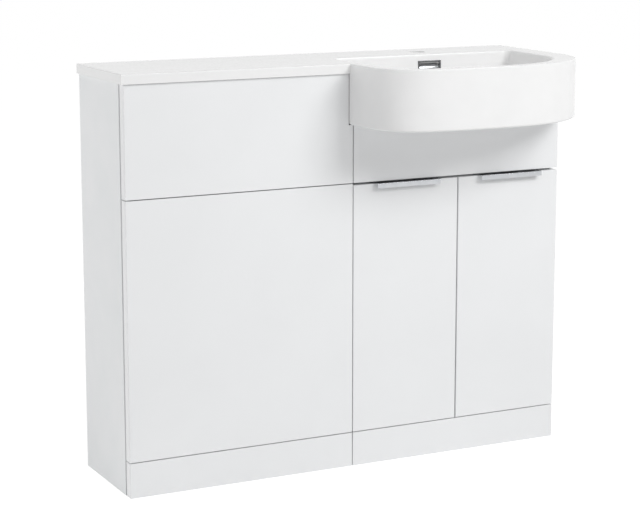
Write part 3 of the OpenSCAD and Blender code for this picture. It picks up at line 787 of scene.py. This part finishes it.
for node in pulls["nodes"]:
    bm = weldedCopy(node)
    folds = [e for e in bm.edges if e.calc_face_angle(0) > pulls["foldTurn"]
             and abs(e.verts[0].co.x - e.verts[1].co.x) > pulls["foldMm"] * mm]
    roundEdges(bm, folds, pulls["edgeMm"] * mm, pulls["segments"])
    putPiece(bm, node + "_strip", node, ["chrome"])
print("pulls made:", len(pulls["nodes"]))

overflow = {
    "edgeMm": 0.35,
    "segments": 2,
    "bezelMm": 3.0,
    "bladeMm": 1.2,
    "bladeRiseMm": 8.5,  # the slot stays open above it
    "setBackMm": 0.2,  # foot of the blade behind the bezel's face
    "slopeMm": 1.6,  # its head lies further back than its foot
    "hollowMm": 0.7,  # dished between foot and head
    "bulgeMm": 1.3,  # its ends lie back from its middle
    "lapMm": 0.2,  # let into the bezel on three sides
    "cutPastMm": 1.0,
    "bladeSteps": (28, 12),  # across and up
}


# A bezel whose opening is half closed by a bent blade
def overflowCover():
    low, high = (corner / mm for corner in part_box("overflow_cover"))
    wall, lap, past = overflow["bezelMm"], overflow["lapMm"], overflow["cutPastMm"]
    bezel = boxSolid(low, high)
    way = boxSolid((low.x + wall, low.y - past, low.z + wall),
                   (high.x - wall, high.y + past, high.z - wall))
    blade = bmesh.new()
    stepsAcross, stepsUp = overflow["bladeSteps"]
    bmesh.ops.create_grid(blade, x_segments=stepsAcross, y_segments=stepsUp, size=0.5)
    half, rise = (high.x - low.x) / 2 - wall + lap, overflow["bladeRiseMm"] + lap
    middle, footZ = (low.x + high.x) / 2, low.z + wall - lap
    for vert in blade.verts:
        across, up = 2 * vert.co.x, vert.co.y + 0.5  # -1 to 1, and 0 to 1
        back = (overflow["setBackMm"] + overflow["slopeMm"] * up
                + overflow["hollowMm"] * (1 - (2 * up - 1) ** 2) + overflow["bulgeMm"] * across ** 2)
        vert.co = Vector((middle + half * across, low.y + back, footZ + rise * up)) * mm
    bmesh.ops.recalc_face_normals(blade, faces=blade.faces)
    if sum(face.normal.y for face in blade.faces) > 0:
        bmesh.ops.reverse_faces(blade, faces=blade.faces)
    bmesh.ops.solidify(blade, geom=blade.faces[:], thickness=overflow["bladeMm"] * mm)
    return combine(bezel, [("DIFFERENCE", way), ("UNION", blade)])


bm = overflowCover()
low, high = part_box("overflow_cover")
print("overflow cover:", len(bm.faces), "faces,", sum(not e.is_manifold for e in bm.edges), "open edges")
roundOuterEdges(bm, low, high, overflow)
putPiece(bm, "overflow_grille", "overflow_cover", ["chromePlasticPaintedShade"])

fittings = {
    "turn": 1.0,  # edges that turn by more, in radians, are rounded
    "segments": 2,
    # finish of each node and rounding of its edges in mm
    "nodes": {
        "wc_corner_blocks": ("nylon", 2.0), "vanity_corner_blocks": ("nylon", 2.0),
        "wc_panel_pads": ("vinyl", 0.8), "wc_plinth_pads": ("vinyl", 0.8),
        "vanity_filler_pads": ("vinyl", 0.8), "vanity_plinth_pads": ("vinyl", 0.8),
        "door_pads_left": ("vinyl", 1.0), "door_pads_right": ("vinyl", 1.0),
        "access_clip_studs": ("nylon", 0.5), "access_clip_sockets": ("nylon", 0.4),
        "cabinet_bolts": ("nickel", 0.7), "shelf_pins": ("nickel", 0.6),
        "hinge_plates": ("nickel", 0.8), "hinge_plate_screws": ("nickel", 0.5),
        "hinge_arms": ("nickel", 1.2),
        "hinge_cups_left": ("nickel", 0.35), "hinge_cups_right": ("nickel", 0.35),
        "pull_screws_left": ("nickel", 0.3), "pull_screws_right": ("nickel", 0.3),
    },
}

for node, (key, radius) in fittings["nodes"].items():
    bm = weldedCopy(node)
    corners = [e for e in bm.edges if e.calc_face_angle(0) > fittings["turn"]]
    roundEdges(bm, corners, radius * mm, fittings["segments"])
    putPiece(bm, node + "_fitting", node, [key])
print("fittings made:", len(fittings["nodes"]))

studio = {
    "floorColour": "#f2f2f2",
    "floorRadius": 60.0,
    "floorSteps": 96,
    "floorGlow": 1.3,  # with floorShare it brings the floor to white and leaves the shadow in it
    "floorShare": 0.7,
    "lightColour": "#ffffff",
    "worldStrength": 0.33,
    "aim": (0.0, 0.0, 0.45),
    # direction towards each lamp, distance, width, height, power in watts
    "lamps": {
        "keyLamp": ((0.52, -1.0, 0.8), 4.0, 1.9, 1.4, 70.0),
        "topLamp": ((0.0, -0.8, 1.0), 3.5, 2.4, 2.4, 16.0),
        "sideLamp": ((-1.0, 0.45, 0.3), 3.0, 1.6, 1.6, 18.0),
        "leftLamp": ((-1.0, -0.3, 0.3), 3.5, 2.0, 2.0, 9.0),
    },
}


# 1 for what the camera, a mirror or clear plastic sees, 0 for light on its way
def seenDirectly(tree):
    rays = addNode(tree, "ShaderNodeLightPath")
    seen = addNode(tree, "ShaderNodeMath", {"operation": "MAXIMUM"},
                   {0: rays.outputs["Is Camera Ray"], 1: rays.outputs["Is Glossy Ray"]})
    seen = addNode(tree, "ShaderNodeMath", {"operation": "MAXIMUM"},
                   {0: seen.outputs["Value"], 1: rays.outputs["Is Transmission Ray"]})
    return seen.outputs["Value"]


def paleFloorPaint():
    material, tree = startMaterial("paleFloorPaint")
    share = addNode(tree, "ShaderNodeMath", {"operation": "MULTIPLY", 1: studio["floorShare"]},
                    {0: seenDirectly(tree)})
    paint = addNode(tree, "ShaderNodeBsdfDiffuse", {"Color": linear(studio["floorColour"])})
    glow = addNode(tree, "ShaderNodeEmission", {
        "Color": linear(studio["lightColour"]), "Strength": studio["floorGlow"]})
    both = addNode(tree, "ShaderNodeMixShader", {}, {
        0: share.outputs["Value"], 1: paint.outputs["BSDF"], 2: glow.outputs["Emission"]})
    addNode(tree, "ShaderNodeOutputMaterial", {}, {"Surface": both.outputs["Shader"]})
    return material


bm = bmesh.new()
bmesh.ops.create_circle(bm, cap_ends=True, segments=studio["floorSteps"], radius=studio["floorRadius"])
floorMesh = bpy.data.meshes.new("studioFloor")
bm.to_mesh(floorMesh)
bm.free()
floorMesh.materials.append(paleFloorPaint())
floor = bpy.data.objects.new("studioFloor", floorMesh)
bpy.context.scene.collection.objects.link(floor)

world = bpy.data.worlds.new("paleRoom")
bpy.context.scene.world = world
world.use_nodes = True
tree = world.node_tree
tree.nodes.clear()
lightColour = linear(studio["lightColour"])
room = addNode(tree, "ShaderNodeBackground", {"Color": lightColour, "Strength": studio["worldStrength"]})
white = addNode(tree, "ShaderNodeBackground", {"Color": lightColour, "Strength": 1.0})
both = addNode(tree, "ShaderNodeMixShader", {}, {
    0: seenDirectly(tree), 1: room.outputs["Background"], 2: white.outputs["Background"]})
addNode(tree, "ShaderNodeOutputWorld", {}, {"Surface": both.outputs["Shader"]})


def areaLamp(name, direction, distance, width, height, power):
    data = bpy.data.lights.new(name, "AREA")
    data.shape, data.size, data.size_y, data.energy = "RECTANGLE", width, height, power
    lamp = bpy.data.objects.new(name, data)
    towards = Vector(direction).normalized()
    lamp.location = Vector(studio["aim"]) + towards * distance
    lamp.rotation_euler = (-towards).to_track_quat("-Z", "Y").to_euler()
    bpy.context.scene.collection.objects.link(lamp)


for name, lampValues in studio["lamps"].items():
    areaLamp(name, *lampValues)
print("floor, world and lamps made:", len(studio["lamps"]), "lamps")

view = {
    "place": (-1.7921, -3.4609, 1.2097),
    "turnDegrees": (79.633, 0.0, -26.566),
    "lens": 107.12,
    "sensor": 36.0,
    "shiftY": -0.05,  # keeps the uprights nearer to upright, as the photograph has them
    "farthest": 200.0,
}
camera = bpy.data.objects.new("photoCamera", bpy.data.cameras.new("photoCamera"))
camera.location = view["place"]
camera.rotation_euler = [math.radians(turn) for turn in view["turnDegrees"]]
camera.data.lens, camera.data.shift_y = view["lens"], view["shiftY"]
camera.data.sensor_width = view["sensor"]
camera.data.clip_end = view["farthest"]
bpy.context.scene.collection.objects.link(camera)
bpy.context.scene.camera = camera
bpy.context.scene.view_settings.view_transform = "Standard"
print("camera made")
